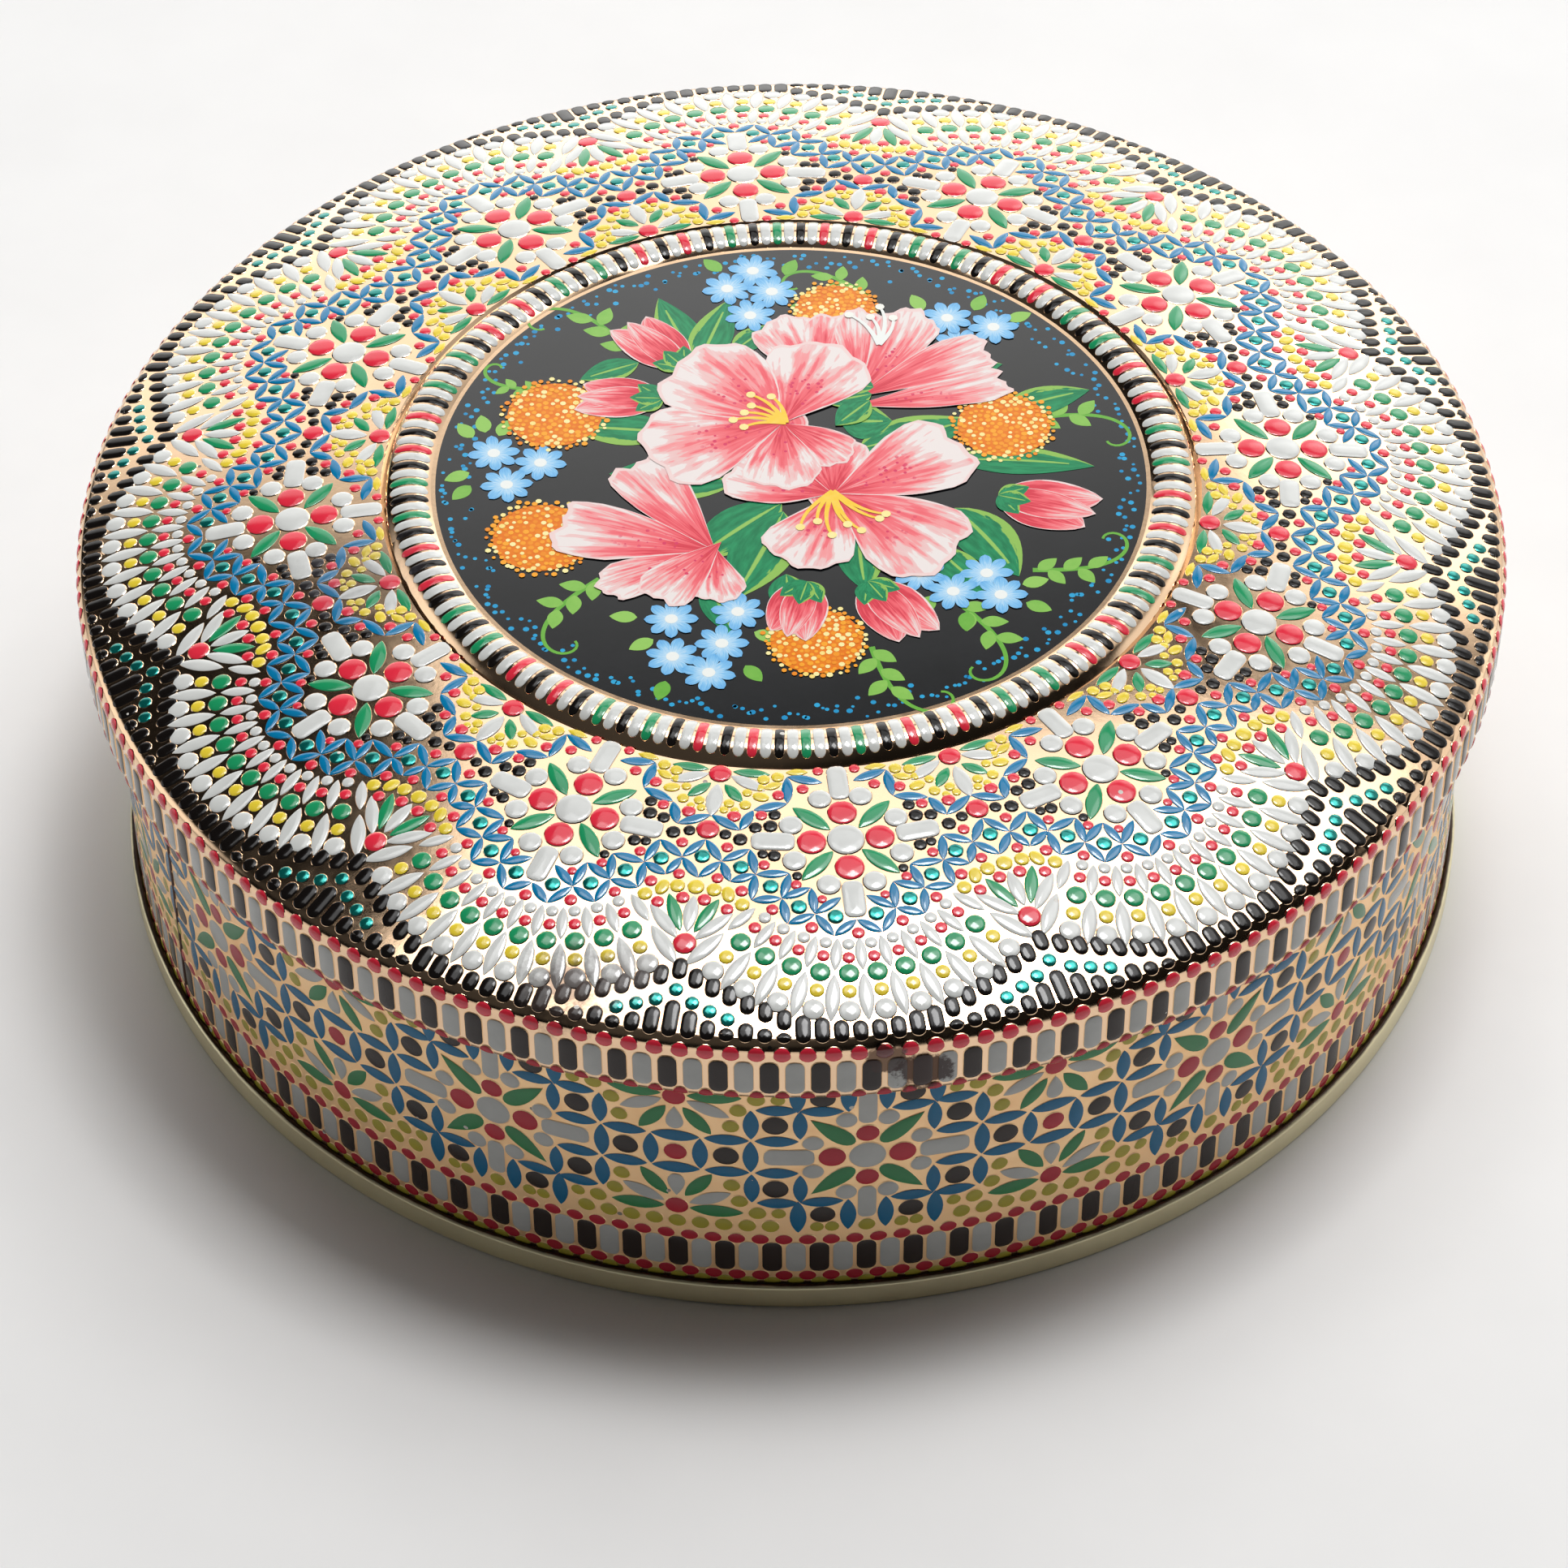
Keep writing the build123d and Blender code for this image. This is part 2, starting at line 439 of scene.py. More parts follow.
def lid_mosaic(ground, enamels):
    mosaic = Mosaic(place_on_lid, 0.21, 0.16)
    axis = Motif(mosaic)
    edge = Motif(mosaic, SECTOR / 2)
    lid_rosette(axis)
    lid_beads(axis)
    lid_chain(axis, edge)
    lid_zigzag(axis)
    lid_scallop(axis)
    lid_outer_fan(edge)
    lid_inner_fan(edge)
    lid_rim(axis, edge)
    mosaic.finish("lid", "cover", ground, enamels)


# ================================ ring and skirt ================================
def ring_bars(ground, enamels):
    colours = ("black", "white", "green", "white", "black", "white", "red", "white",
               "black", "white", "red", "white", "black", "white", "green", "white")
    mosaic = Mosaic(place_on_lid, 0.15, 0.03)
    for k, colour in enumerate(colours):
        motif = Motif(mosaic, k * SECTOR / BAND_COUNT)
        motif.one(colour, "bar", 0, 58.5, 2.95, 0.84 if colour == "white" else 0.73)
    mosaic.finish("ring", "cover", ground, enamels)


def band_of_bars(mosaic, radius, middle, long, dots, dot_size):
    """Bars in turn black and white, with rows of red dots beside them."""
    pitch = TURN * radius / (REPEATS * BAND_COUNT)
    motif = Motif(mosaic)
    for k in range(BAND_COUNT):
        x = k * pitch
        motif.one("white" if k % 2 else "black", "bar", x, middle, long, 1.42)
        for y in dots:
            motif.one("red", "oval", x + pitch / 2, y, *dot_size, 0)


def skirt_band(ground, enamels):
    mosaic = Mosaic(place_on_band, 0.2, 0.04)
    band_of_bars(mosaic, LID_RADIUS, SKIRT_BOTTOM + 5.2, 3.3, (SKIRT_BOTTOM + 1.15,), (1.15, 1.25))
    mosaic.finish("skirt", "cover", ground, enamels)


# ================================ seam ================================
def lathe(name, section, look, body, steps=360):
    """A section of (radius, height) points turned about the tin's axis."""
    points = []
    faces = []
    count = len(section)
    for i in range(steps):
        turn = TURN * i / steps
        for radius, height in section:
            points.append(turned(radius, turn, height))
        after = (i + 1) % steps
        for j in range(count - 1):
            faces.append((i * count + j, i * count + j + 1, after * count + j + 1, after * count + j))
    piece = new_mesh(name, points, faces)
    piece.data.materials.append(look)
    smooth(piece)
    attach(piece, body)


def seam_roll(look):
    """The rounded outside of the double seam that joins the base to the wall. Its top comes from the
    base's highest point, the middle of its panel, so it stands 1.5 mm above the seam of the CAD."""
    outer = base_high.x + 0.04
    half = (outer - WALL_RADIUS) / 2 + 0.02
    top = base_high.z + 0.03
    section = []
    for i in range(13):
        t = math.pi * (1 - i / 12)
        section.append((outer - half + half * math.cos(t), top - half + half * math.sin(t)))
    for i in range(7):
        t = -math.pi / 2 * i / 6
        section.append((outer - 0.4 + 0.4 * math.cos(t), 0.43 + 0.4 * math.sin(t)))
    lathe("seam_roll", section, look, "tin")


def side_seam(look):
    """The dark line up the wall's left side, where its sheet overlaps."""
    rows = 48
    points = []
    faces = []
    low = base_high.z - 0.2
    high = wall_high.z - 3.0
    for i in range(rows + 1):
        height = low + (high - low) * i / rows
        for across in (-1.0, -0.5, 0.5, 1.0):
            radius = WALL_RADIUS + (0.19 if abs(across) < 1 else -0.05)
            turn = math.radians(SIDE_SEAM) + across * 0.30 / WALL_RADIUS
            points.append(turned(radius, turn, height))
    for i in range(rows):
        for j in range(3):
            a = 4 * i + j
            faces.append((a, a + 1, a + 5, a + 4))
    piece = new_mesh("side_seam", points, faces)
    piece.data.materials.append(look)
    smooth(piece)
    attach(piece, "tin")


# ================================ wall's mosaic ================================
WALL_ROSETTE = 32.7                # height of the rosettes' centres above the floor


def wall_rosette(m):
    y0 = WALL_ROSETTE
    m.one("white", "oval", 0, y0, 2.75)
    m.pair("red", "oval", 5.1, y0, 2.0)
    m.pair("white", "bar", 11.3, y0, 3.65, 1.65, 0)
    for side in (1, -1):
        m.one("red", "oval", 0, y0 + 4.8 * side, 1.75)
        m.one("white", "bar", 0, y0 + 10.4 * side, 3.4, 1.3)
        m.pair("green", "drop", 5.05, y0 + 5.4 * side, 4.15, 1.45, 41 * side)
        m.pair("white", "oval", 3.05, y0 + 7.9 * side, 1.58)
        m.pair("white", "oval", 7.85, y0 + 3.1 * side, 1.6, 1.5, 0)


def wall_lattice(m, edge):
    """Square cells framed by blue leaves, with a dark bead in each."""
    y0 = WALL_ROSETTE
    m.pair("blue", "leaf", 16.85, y0, 3.3, 1.12)
    m.pair("blue", "leaf", 24.15, y0, 3.25, 1.12)
    m.pair("black", "oval", 20.4, y0, 1.9)
    edge.one("red", "oval", 0, y0, 1.75)
    for side in (1, -1):
        for x, long in ((13.1, 3.1), (20.3, 3.2)):
            m.pair("blue", "leaf", x, y0 + 3.5 * side, long, 1.08, 0)
        edge.one("blue", "leaf", 0, y0 + 3.5 * side, 3.5, 1.12, 0)
        m.pair("blue", "leaf", 9.7, y0 + 7.0 * side, 2.95, 1.02)
        m.pair("blue", "leaf", 16.75, y0 + 7.0 * side, 3.05, 1.12)
        m.pair("blue", "leaf", 13.0, y0 + 10.2 * side, 3.0, 1.05, 0)
        m.pair("blue", "leaf", 6.6, y0 + 9.95 * side, 3.1, 1.02, 2 * side)
        m.pair("blue", "leaf", 10.05, y0 + 13.3 * side, 3.45, 1.18)
        m.pair("blue", "leaf", 2.75, y0 + 13.0 * side, 3.3, 1.15)
        m.pair("black", "oval", 13.3, y0 + 7.0 * side, 1.9)
        m.pair("black", "oval", 6.45, y0 + 12.75 * side, 1.85, 1.75, 0)


def wall_fans(edge):
    y0 = WALL_ROSETTE
    for side in (1, -1):
        edge.one("red", "oval", 0, y0 + 12.0 * side, 1.75)
        edge.one("white", "drop", 0, y0 + 7.4 * side, 2.3, 1.25, 90 * side)
        edge.pair("green", "leaf", 3.25, y0 + 7.1 * side, 3.25, 1.15, -53 * side)
        edge.pair("white", "leaf", 4.9, y0 + 9.8 * side, 3.3, 1.15, -25 * side)
        edge.pair("green", "leaf", 5.8, y0 + 12.5 * side, 3.9, 1.25, 2 * side)
        for x, y, size in ((8.1, 6.5, 1.25), (9.2, 10.0, 1.25), (11.8, 12.5, 1.3), (14.9, 12.5, 1.05)):
            edge.pair("yellow", "oval", x, y0 + y * side, size)
        edge.one("yellow", "oval", 0, y0 + 15.4 * side, 1.3)
        for k in range(1, 5):
            edge.pair("yellow", "oval", 3.42 * k, y0 + 15.4 * side, 1.3)


def wall_fillers(m):
    for side in (1, -1):
        y = WALL_ROSETTE + 15.5 * side
        m.one("yellow", "oval", 0, y, 1.25)
        m.pair("yellow", "oval", 5.1, y, 1.05)
        m.pair("yellow", "oval", 7.3, y, 1.0)


def wall_mosaic(ground, enamels):
    mosaic = Mosaic(place_on_wall, 0.15, 0.14)
    axis = Motif(mosaic)
    edge = Motif(mosaic, SECTOR / 2)
    wall_rosette(axis)
    wall_lattice(axis, edge)
    wall_fans(edge)
    wall_fillers(axis)
    band_of_bars(mosaic, WALL_RADIUS, 10.30, 3.25, (14.3, 6.10), (1.28, 1.05))
    pitch = TURN * WALL_RADIUS / (REPEATS * BAND_COUNT)
    for k in range(BAND_COUNT):
        axis.one("yellow", "oval", k * pitch, 4.75, 1.2, 0.95, 0)
        axis.one("red", "oval", (k + 0.5) * pitch, 2 * WALL_ROSETTE - 14.2, 1.28, 1.05, 0)
    mosaic.finish("wall", "tin", ground, enamels)


# ================================ materials ================================
def material(name):
    m = bpy.data.materials.new(name)
    m.use_nodes = True
    m.node_tree.nodes.clear()
    out = m.node_tree.nodes.new("ShaderNodeOutputMaterial")
    shader = m.node_tree.nodes.new("ShaderNodeBsdfPrincipled")
    m.node_tree.links.new(shader.outputs[0], out.inputs[0])
    return m, m.node_tree, shader


def set_inputs(node, values):
    for name, value in values.items():
        node.inputs[name].default_value = value


def object_place(tree):
    return tree.nodes.new("ShaderNodeTexCoord").outputs["Object"]


def noise(tree, scale, detail=3.0, roughness=0.55):
    """Noise over the object, in which scale counts patches per metre."""
    place = object_place(tree)
    n = tree.nodes.new("ShaderNodeTexNoise")
    set_inputs(n, {"Scale": scale, "Detail": detail, "Roughness": roughness})
    tree.links.new(place, n.inputs["Vector"])
    return n.outputs["Fac"]


def cells_of(tree, scale):
    """Cells over the object, of which scale counts those in a metre."""
    place = object_place(tree)
    cells = tree.nodes.new("ShaderNodeTexVoronoi")
    cells.inputs["Scale"].default_value = scale
    tree.links.new(place, cells.inputs["Vector"])
    return cells


def fade(tree, value, none, full):
    """0 where value is at none or past it, and 1 where it is at full."""
    node = tree.nodes.new("ShaderNodeMapRange")
    set_inputs(node, {"From Min": none, "From Max": full})
    tree.links.new(value, node.inputs["Value"])
    return node.outputs["Result"]


def ramp(tree, source, stops):
    r = tree.nodes.new("ShaderNodeValToRGB")
    elements = r.color_ramp.elements
    while len(elements) < len(stops):
        elements.new(0.5)
    for element, (position, colour) in zip(elements, stops):
        element.position = position
        element.color = (*colour, 1.0) if isinstance(colour, tuple) else (colour, colour, colour, 1.0)
    tree.links.new(source, r.inputs["Fac"])
    return r.outputs["Color"]


def maths(tree, operation, a, b=0.0):
    node = tree.nodes.new("ShaderNodeMath")
    node.operation = operation
    for socket, value in zip(node.inputs, (a, b)):
        if isinstance(value, (int, float)):
            socket.default_value = value
        else:
            tree.links.new(value, socket)
    return node.outputs[0]


def blend_colours(tree, factor, a, b):
    node = tree.nodes.new("ShaderNodeMix")
    node.data_type = "RGBA"
    tree.links.new(factor, node.inputs["Factor"])
    for name, value in (("A", a), ("B", b)):
        socket = [s for s in node.inputs if s.name == name and s.type == "RGBA"][0]
        if isinstance(value, tuple):
            socket.default_value = (*value, 1)
        else:
            tree.links.new(value, socket)
    return [s for s in node.outputs if s.type == "RGBA"][0]


def add_part(tree, total, value, weight):
    """total plus a share of value."""
    return maths(tree, "ADD", total, maths(tree, "MULTIPLY", value, weight))


def centred(tree, value, amount):
    """A noise of 0 to 1, made to vary about 0."""
    return maths(tree, "MULTIPLY", maths(tree, "SUBTRACT", value, 0.5), amount)


def bump(tree, shader, source, strength, distance):
    b = tree.nodes.new("ShaderNodeBump")
    set_inputs(b, {"Strength": strength, "Distance": distance})
    tree.links.new(source, b.inputs["Height"])
    tree.links.new(b.outputs["Normal"], shader.inputs["Normal"])


def shade(colour, factor):
    return tuple(min(1.0, c * factor) for c in colour)


def patchy(tree, colour, scale, low=0.93, high=1.05):
    """A colour that varies a little in tone from patch to patch."""
    return ramp(tree, noise(tree, scale, 4), ((0.3, shade(colour, low)), (0.7, shade(colour, high))))


def set_roughness(tree, shader, source, stops):
    tree.links.new(ramp(tree, source, stops), shader.inputs["Roughness"])


def set_colour(tree, shader, colour):
    tree.links.new(colour, shader.inputs["Base Color"])


def spot(tree, place, inner, outer):
    """1 within inner mm of a place and 0 beyond outer mm, with a ragged edge."""
    where = object_place(tree)
    gap = tree.nodes.new("ShaderNodeVectorMath")
    gap.operation = "DISTANCE"
    gap.inputs[1].default_value = place
    tree.links.new(where, gap.inputs[0])
    ragged = centred(tree, noise(tree, 330, 5, 0.7), 1.6 * outer * MM)
    return fade(tree, maths(tree, "ADD", gap.outputs["Value"], ragged), outer * MM, inner * MM)


def specks(tree, scale, amount):
    """Scattered tiny chips."""
    cells = cells_of(tree, scale)
    core = maths(tree, "LESS_THAN", cells.outputs["Distance"], 0.16)
    split = tree.nodes.new("ShaderNodeSeparateColor")
    tree.links.new(cells.outputs["Color"], split.inputs[0])
    return maths(tree, "MULTIPLY", core, maths(tree, "LESS_THAN", split.outputs[0], amount))


def wear(tree, colour, chips, scuffs):
    """Rubbed places or stains where the list of scuffs says, and small chips everywhere."""
    for angle, reach, inner, outer, weight, tone in scuffs:
        radius, height, _, _ = on_lid(reach)
        place = turned(radius, math.radians(angle), height)
        mask = maths(tree, "MULTIPLY", spot(tree, place, inner, outer), weight)
        colour = blend_colours(tree, mask, colour, tone)
    return blend_colours(tree, specks(tree, 420, 0.02), colour, chips)


# angle, reach on the lid, inner and outer size in mm, weight, colour
SKIRT_SCUFFS = (
    (-86.2, SHOULDER_END + 4.4, 3.4, 4.2, 0.93, (0.040, 0.017, 0.015)),
    (-88.9, SHOULDER_END + 1.2, 2.4, 3.0, 0.85, (0.045, 0.018, 0.015)),
)
LID_SCUFFS = SKIRT_SCUFFS + (
    (-113.5, 104.5, 2.5, 7.5, 0.85, (0.085, 0.062, 0.055)),
    (-109.0, 101.0, 1.5, 5.0, 0.55, (0.20, 0.17, 0.16)),
    (-168.0, 69.0, 2.0, 13.0, 0.35, (0.15, 0.14, 0.16)),
)


def gold_lacquer(name, colour, roughness, scuffs):
    m, tree, shader = material(name)
    shader.inputs["Metallic"].default_value = 1.0
    set_colour(tree, shader, wear(tree, patchy(tree, colour, 60), (0.30, 0.27, 0.24), scuffs))
    set_roughness(tree, shader, noise(tree, 240, 4), ((0.35, roughness * 0.8), (0.75, roughness * 1.35)))
    bump(tree, shader, noise(tree, 900, 2), 0.15, 0.00003)
    return m


def seam_lacquer(name, colour):
    """The base's lacquer, with painted shade that darkens the crease between the wall and the seam."""
    m, tree, shader = material(name)
    shader.inputs["Metallic"].default_value = 0.55
    where = object_place(tree)
    split = tree.nodes.new("ShaderNodeSeparateXYZ")
    tree.links.new(where, split.inputs[0])
    radius = maths(tree, "SQRT", maths(tree, "ADD", maths(tree, "POWER", split.outputs[0], 2.0),
                                       maths(tree, "POWER", split.outputs[1], 2.0)))
    ragged = centred(tree, noise(tree, 160, 4), 0.5 * MM)
    # painted shade: a near-black band along the crease at the seam's top, standing in for its shadow and
    # dark reflection
    crease = fade(tree, maths(tree, "ADD", radius, ragged),
                  (WALL_RADIUS + 1.05) * MM, (WALL_RADIUS + 0.80) * MM)
    outside = maths(tree, "GREATER_THAN", radius, (WALL_RADIUS - 0.25) * MM)
    painted_crease_shade = maths(tree, "MULTIPLY", crease, outside)
    patches = patchy(tree, colour, 60, 0.92, 1.04)
    # the crease is painted with near-black shade over the khaki lacquer
    set_colour(tree, shader, blend_colours(tree, painted_crease_shade, patches, (0.05, 0.028, 0.018)))
    set_roughness(tree, shader, noise(tree, 240, 4), ((0.35, 0.30), (0.75, 0.39)))
    bump(tree, shader, noise(tree, 420, 3), 0.06, 0.00003)
    return m


def enamel(name, colour, metallic, gloss, scuffs):
    m, tree, shader = material(name)
    set_colour(tree, shader, wear(tree, patchy(tree, colour, 200), (0.62, 0.60, 0.56), scuffs))
    set_roughness(tree, shader, noise(tree, 500, 3), ((0.3, 0.10), (0.75, 0.19)))
    set_inputs(shader, {"Metallic": metallic, "Specular IOR Level": gloss,
                        "Coat Weight": gloss, "Coat Roughness": 0.03})
    bump(tree, shader, noise(tree, 800, 2), 0.08, 0.00004)
    return m


LID_ENAMELS = {
    "white": (0.68, 0.69, 0.67),
    "black": (0.007, 0.0055, 0.005),
    "red": (0.80, 0.030, 0.060),
    "green": (0.014, 0.31, 0.12),
    "blue": (0.002, 0.20, 0.42),
    "yellow": (0.86, 0.66, 0.05),
    "teal": (0.006, 0.25, 0.22),
}
# the lid's inks again, most of them made darker as painted shade on the upright wall and skirt
SHADED_WALL_ENAMELS = {
    "white": (0.50, 0.505, 0.49),
    "black": (0.030, 0.020, 0.017),
    "red": (0.50, 0.020, 0.040),
    "green": (0.040, 0.24, 0.085),
    "blue": (0.003, 0.145, 0.30),
    "yellow": (0.46, 0.39, 0.045),
}


def enamels_for(area, colours, scuffs):
    looks = {}
    for name, colour in colours.items():
        metallic = 0.7 if name == "teal" else 0.0
        gloss = 0.2 if name == "black" or area == "wall" else 0.4
        looks[name] = enamel(f"{area}_{name}_enamel", colour, metallic, gloss, scuffs)
    return looks


# ================================ picture panel ================================
# heights of the inks above the panel, mm, to which most shapes add a little of their own
GROUND_LEVEL = 0.03
DOT_LEVEL = 0.036
SPRIG_LEVEL = 0.040
SPRIG_LEAF_LEVEL = 0.044
SMALL_LEAF_LEVEL = 0.052
LEAF_LEVEL = 0.070
POMPOM_LEVEL = 0.106
FLORET_LEVEL = 0.110
DAISY_LEVEL = 0.110
BUD_LEVEL = 0.178
THROAT_LEVEL = 0.204
PETAL_LEVEL = 0.206
CALYX_LEVEL = 0.239
STAMEN_LEVEL = 0.36
STAMEN_TIP_LEVEL = 0.38
GOLDEN_ANGLE = 137.508             # degrees between one floret and the next


class Ink:
    """Flat shapes printed in one ink. The attribute "print" holds, at each point, how far it is along
    and across its shape, and a number that is the shape's own."""

    def __init__(self, name, look):
        self.name = name
        self.look = look
        self.points = []
        self.faces = []
        self.marks = []

    def grid(self, rows, columns, shape, level, own=0.0):
        """shape(along, across) gives plan millimetres, with along from 0 to 1 and across from -1 to 1."""
        first = len(self.points)
        for i in range(rows + 1):
            for j in range(columns + 1):
                along, across = i / rows, 2 * j / columns - 1
                x, y = shape(along, across)
                self.points.append((x * MM, y * MM, (PANEL_HEIGHT + level) * MM))
                self.marks.append((along, across, own))
        wide = columns + 1
        for i in range(rows):
            for j in range(columns):
                a = first + i * wide + j
                self.faces.append((a, a + 1, a + wide + 1, a + wide))

    def dot(self, x, y, size, level, own=0.0, count=8):
        first = len(self.points)
        z = (PANEL_HEIGHT + level) * MM
        self.points.append((x * MM, y * MM, z))
        self.marks.append((0, 0, own))
        for i in range(count):
            a = TURN * i / count
            self.points.append(((x + size * math.cos(a)) * MM, (y + size * math.sin(a)) * MM, z))
            self.marks.append((1, 1, own))
            self.faces.append((first, first + 1 + i, first + 1 + (i + 1) % count))

    def finish(self):
        piece = new_mesh(self.name, self.points, self.faces)
        print_marks = piece.data.attributes.new("print", "FLOAT_VECTOR", "POINT")
        print_marks.data.foreach_set("vector", [c for mark in self.marks for c in mark])
        up = [p.normal.z for p in piece.data.polygons]
        if sum(up) < 0:
            piece.data.flip_normals()
        piece.data.materials.append(self.look)
        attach(piece, "cover")


def ahead(x, y, distance, bearing):
    """The point at a distance and a bearing from (x, y), counter-clockwise from +X."""
    t = math.radians(bearing)
    return x + distance * math.cos(t), y + distance * math.sin(t)


def petal(ink, x, y, bearing, long, half_angle, level, chance):
    """A broad ruffled petal that fans out from the flower's throat."""
    phase = chance.uniform(0, TURN)
    own = chance.random()
    lean = chance.uniform(-6, 6)

    def shape(along, across):
        reach = long * along * (1 - 0.07 * across ** 2 - 0.24 * across ** 6)
        ruffle = math.sin(6 * across + phase) + 0.6 * math.sin(15 * across + 2 * phase)
        reach += long * 0.03 * along ** 3 * ruffle
        open_angle = half_angle * (1.06 + 0.1 * math.sin(math.pi * along))
        return ahead(x, y, reach, bearing + lean * along ** 2 + open_angle * across)

    ink.grid(18, 18, shape, level, own)


def blade(ink, x, y, bearing, long, wide, level, own=0.0, bend=0.0, blunt=0.9, late=0.85,
          rows=14, columns=6):
    """A leaf or a narrow petal. The larger late is, the nearer to its tip it is widest."""
    def shape(along, across):
        cx, cy = ahead(x, y, long * along, bearing + bend * along)
        half = wide * math.sin(math.pi * along ** late) ** blunt
        return ahead(cx, cy, half * across, bearing + 2 * bend * along + 90)

    ink.grid(rows, columns, shape, level, own)


def stem(ink, line, wide, level):
    """A thin line through a list of points."""
    count = len(line) - 1

    def shape(along, across):
        i = min(count - 1, int(round(along * count)))
        here = line[int(round(along * count))]
        direction = math.degrees(math.atan2(line[i + 1][1] - line[i][1], line[i + 1][0] - line[i][0]))
        return ahead(*here, wide * across * (1.1 - 0.6 * along), direction + 90)

    ink.grid(count, 1, shape, level)


def sprig(stems, x, y, bearing, size, side):
    """A stem that curls up at its tip, with small leaves on both sides."""
    count = 34
    line = [(x, y)]
    heading = bearing
    for i in range(count):
        heading += side * (0.8 + 24 * (i / count) ** 2.4)
        line.append(ahead(*line[-1], size * 0.062 * (1 - 0.35 * i / count), heading))
    stem(stems, line, 0.42, SPRIG_LEVEL)
    for i, (place, lean) in enumerate(((1, 44), (3, -50), (6, 46), (9, -52), (11, 40))):
        blade(stems, *line[place], bearing + lean, size * 0.30, size * 0.085,
              SPRIG_LEAF_LEVEL + 0.0015 * i, own=0.5)


def daisy(blues, whites, x, y, size, level, chance):
    turn = chance.uniform(0, 45)
    for k in range(8):
        blade(blues, x, y, turn + 45 * k, size, size * 0.235, level + 0.003 * k, own=chance.random(),
              blunt=0.6, late=1.75, rows=10, columns=4)
    whites.dot(x, y, size * 0.24, level + 0.03, own=0.0, count=14)


def pompom(oranges, yellows, x, y, size, chance):
    """A round head of many tiny florets."""
    oranges.dot(x, y, size * 0.9, POMPOM_LEVEL, own=0.1, count=40)
    count = 210
    for k in range(count):
        reach = size * math.sqrt((k + 0.5) / count) * 1.04
        turn = k * GOLDEN_ANGLE
        px, py = ahead(x, y, reach * chance.uniform(0.96, 1.04), turn)
        bright = chance.random()
        ink = yellows if bright > 0.62 else oranges
        ink.dot(px, py, chance.uniform(0.3, 0.52), FLORET_LEVEL + 0.0003 * k,
                own=0.3 + 0.7 * chance.random(), count=7)


def stamens(ink, x, y, bearing, count, long, chance):
    for k in range(count):
        lean = bearing + (k - (count - 1) / 2) * 15 + chance.uniform(-5, 5)
        reach = long * chance.uniform(0.75, 1.1)
        line = [ahead(x, y, reach * i / 8, lean + 14 * (i / 8) ** 2) for i in range(9)]
        stem(ink, line, 0.42, STAMEN_LEVEL + 0.002 * k)
        ink.dot(*line[-1], 0.75, STAMEN_TIP_LEVEL + 0.002 * k, own=0.6, count=9)


# petals: x, y, bearing, length, half angle
BACK_PETALS = ((7, 21, 112, 17, 25), (7, 21, 68, 17, 27))
SIDE_FLOWER = ((12, 17, 78, 21, 15), (12, 17, 52, 23, 16), (11, 15, 4, 25, 12), (12, 17, 26, 24, 15))
TRUMPET = ((-13, -16, 118, 24, 17), (-13, -16, 196, 19, 16), (-13, -16, 158, 25, 19),
           (-13, -15, 262, 12, 27), (-12, -14, 225, 16, 22))
LEFT_FLOWER = ((0, 12, 318, 13, 25), (0, 12, 262, 15, 31), (0, 12, 62, 20, 33), (0, 12, 190, 22, 33),
               (0, 12, 126, 22, 33))
RIGHT_FLOWER = ((6, -5, 88, 13, 36), (6, -5, 158, 17, 30), (6, -5, 22, 23, 27), (6, -5, 250, 17, 32),
                (6, -5, 318, 23, 30))
# x, y, bearing, length, width
BUDS = ((-14, 27, 124, 15, 5), (-18, 20, 172, 14, 5), (0, -24, 250, 13, 5), (9, -25, 296, 15, 5.6),
        (31, -8, 338, 16, 6))
LEAVES = ((-12, 27, 104, 18, 3.6), (-12, 27, 68, 17, 3.4), (-17, 12, 168, 17, 3.8), (-8, 0, 170, 20, 5.2),
          (-2, -6, 214, 19, 4.6), (-2, -8, 246, 21, 5.0), (9, -13, 264, 14, 3.6), (24, -10, 302, 18, 4.6),
          (20, -18, 296, 14, 3.2), (11, 5, 14, 19, 4.4), (34, 11, 22, 15, 3.2), (25, 1, 356, 22, 3.2),
          (22, 20, 14, 14, 3.2), (-15, -22, 284, 13, 2.8), (9, 12, 348, 8, 4.2), (-3, -22, 268, 9, 3),
          (-21, 29, 196, 10, 2.6), (-6, 30, 44, 9, 2.4))
CALYX = ((14.5, 17.5, 190, 7.5, 2.6), (14, 16, 222, 8.0, 2.6), (15, 19, 160, 6.0, 2.2))
# x, y, and then the size or the bearing; a sprig has its bearing, its size and the side it curls to
POMPOMS = ((-35, 18, 8.2), (11, 38, 7.2), (34, 8, 8.0), (-39, -10, 8.2), (0, -37, 7.6))
DAISIES = ((-1, 49.5), (-5.5, 45.5), (1.5, 44), (-2.5, 38.5), (28.5, 34.5), (35.5, 31.5), (29.5, 28),
           (-45, 10), (-38, 7), (-43.5, 2.5), (-21, -30), (-11, -29.5), (-21.5, -38), (-14, -36),
           (-16.5, -42), (17, -24), (21.5, -28.5), (28.5, -30), (27, -25))
SPRIGS = ((-22, 32, 118, 15, 1), (17, 41, 128, 12, 1), (37, 9, 8, 14, -1), (-31, -20, 216, 14, 1),
          (8, -39, 276, 14, 1), (22, -31, 306, 14, -1), (34, -25, 352, 13, 1), (-36, 24, 172, 9, -1))
SMALL_LEAVES = ((-48, 14, 120), (-46, 15, 96), (-44, 14, 60), (-49, 6, 200), (-49, 3, 225), (4, 48, 60),
                (-6, 50, 128), (4, 40, 350), (25, 37, 110), (33, 36, 60), (38, 33, 20), (24, 35, 160),
                (-26, -29, 170), (-24, -34, 205), (-23, -43, 250), (-11, -41, 300), (-9, -34, 330),
                (18, -29, 250), (32, -28, 10), (32, -32, 330), (23, -33, 260))


